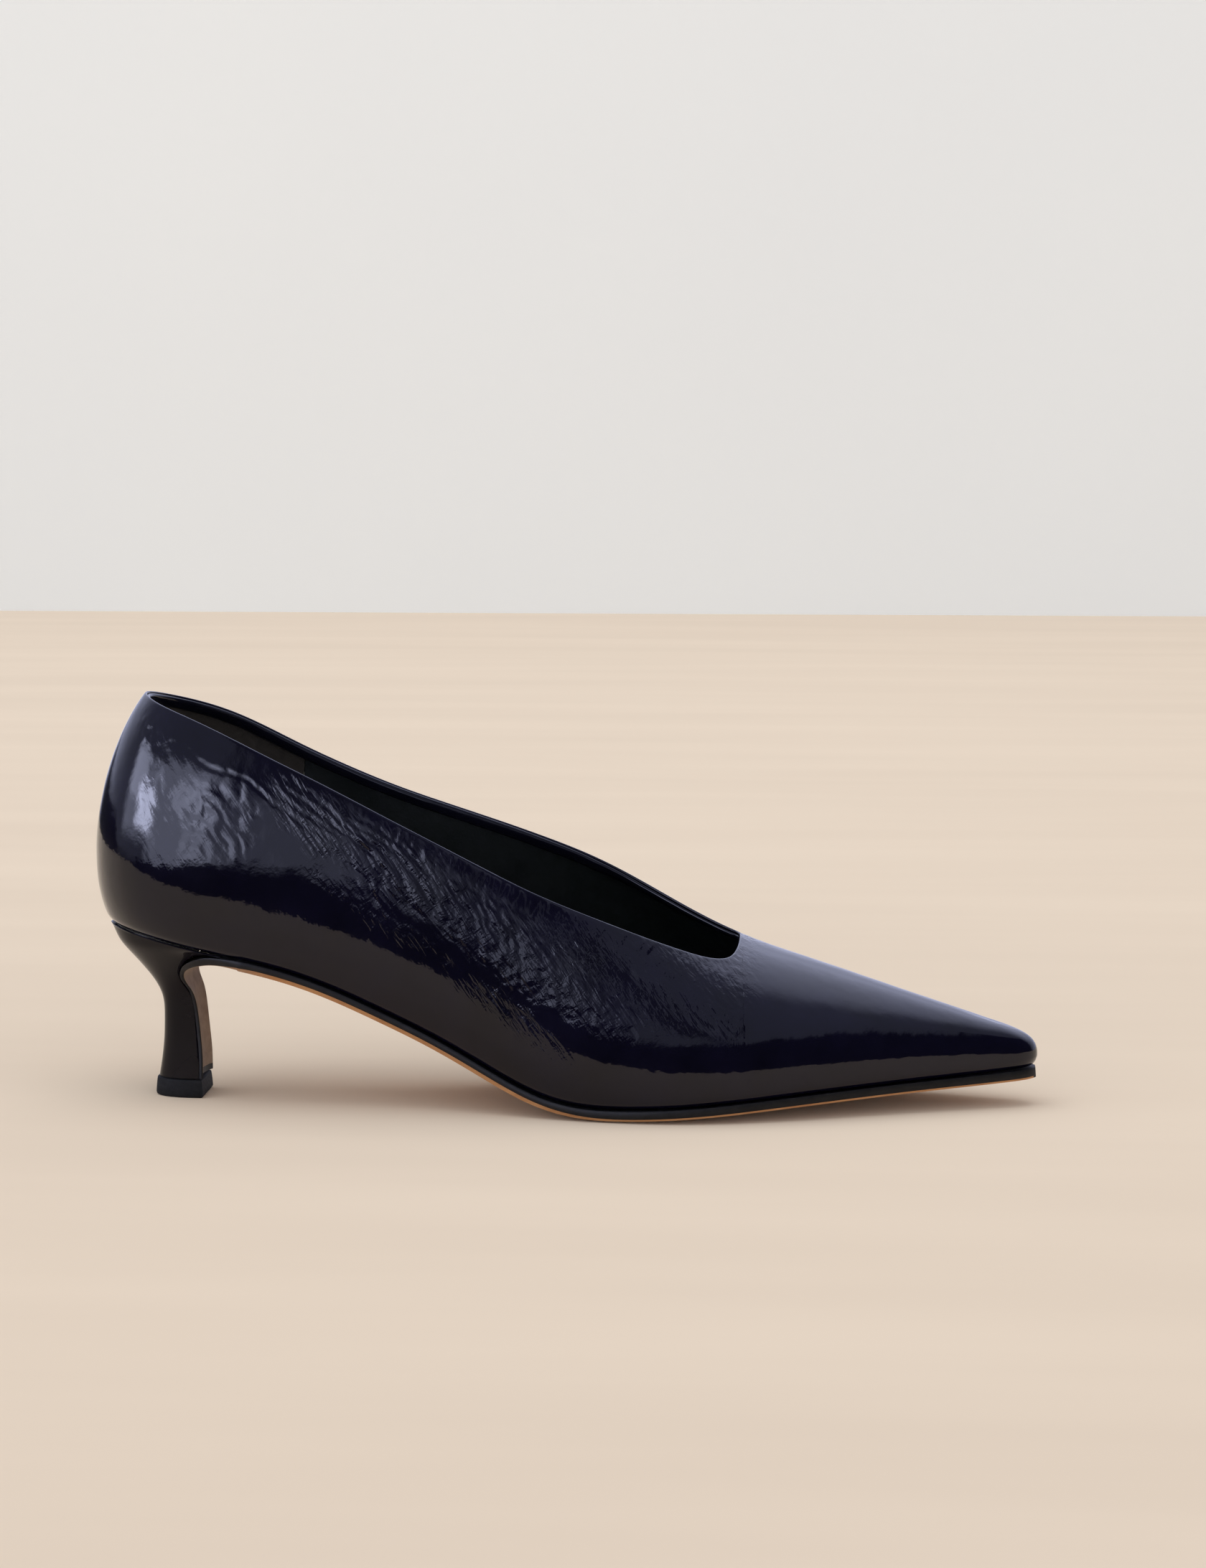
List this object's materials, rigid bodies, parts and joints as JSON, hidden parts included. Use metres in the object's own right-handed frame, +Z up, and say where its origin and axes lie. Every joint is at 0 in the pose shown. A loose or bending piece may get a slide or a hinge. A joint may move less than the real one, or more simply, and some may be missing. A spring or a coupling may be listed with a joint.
{
  "type": "high heel pump",
  "caption": "Right-foot pointed pump with a deep V-shaped topline, a slim waisted kitten heel with a rubber top-lift, and a sole that flaps down the heel breast.",
  "frame": {"origin": "centre of the heel's tread, on the floor", "axes": "+X from heel to toe, +Y to the inner (medial) side of a right shoe, +Z up"},
  "size_m": [0.2631, 0.0768, 0.1134],
  "materials": {
    "patent_leather": "dark navy crinkled patent, high gloss",
    "binding_patent": "dark patent strip, high gloss",
    "lining_leather": "black smooth lining leather, satin",
    "grip_suede": "dark grey-brown suede",
    "sole_leather": "tan sole leather with a black painted edge",
    "heel_patent": "brownish black patent cover, gloss",
    "lift_rubber": "matte black",
    "heel_plastic": "moulded, hidden under the cover",
    "counter_board": "thermoplastic stiffener sheet, hidden",
    "tape_fabric": "woven tape, hidden",
    "insole_fibre": "cellulose board, hidden",
    "foam": "soft foam, hidden",
    "filler_cork": "granular cork filler, hidden",
    "shank_steel": "plain steel",
    "fastener_steel": "plain steel"
  },
  "bodies": {
    "root": {"upper": "patent_leather", "topline_binding": "binding_patent", "topline_tape": "tape_fabric", "vamp_lining": "lining_leather", "heel_grip_lining": "grip_suede", "heel_counter": "counter_board", "toe_puff": "counter_board", "insole_board": "insole_fibre", "sock_foam": "foam", "sock_lining": "lining_leather", "bottom_filler": "filler_cork", "shank": "shank_steel", "shank_rivet_1": "fastener_steel", "shank_rivet_2": "fastener_steel", "outsole": "sole_leather", "heel_cover": "heel_patent", "heel_block": "heel_plastic", "top_lift": "lift_rubber", "top_lift_pin": "fastener_steel", "heel_dowel": "fastener_steel", "heel_screw": "fastener_steel", "heel_nail_1": "fastener_steel", "heel_nail_2": "fastener_steel", "heel_nail_3": "fastener_steel", "heel_nail_4": "fastener_steel"}
  },
  "joints": []
}
